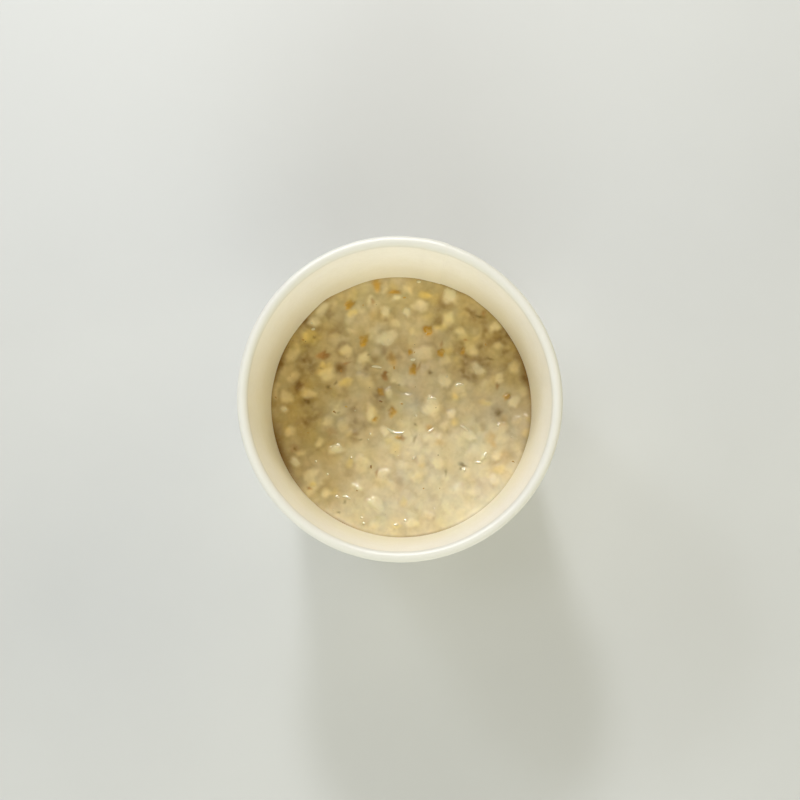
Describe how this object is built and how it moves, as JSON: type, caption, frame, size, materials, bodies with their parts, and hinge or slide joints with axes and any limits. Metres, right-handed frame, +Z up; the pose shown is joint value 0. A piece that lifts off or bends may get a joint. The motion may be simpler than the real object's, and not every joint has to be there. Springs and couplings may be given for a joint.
{
  "type": "bowl of porridge",
  "caption": "Round tapered paper pot with a rolled rim and a recessed base, part filled with thick, lumpy oat porridge.",
  "frame": {"origin": "centre of the ring on the table that the pot stands on", "axes": "+Z up, along the pot's axis, out of its mouth; +X and +Y point to the right and to the top of the view from above"},
  "size_m": [0.098, 0.098, 0.076],
  "materials": {
    "paper_board": "satin, thinly coated inside",
    "porridge": "wet"
  },
  "bodies": {
    "root": {"pot_wall": "paper_board", "pot_base": "paper_board", "porridge": "porridge"}
  },
  "joints": []
}
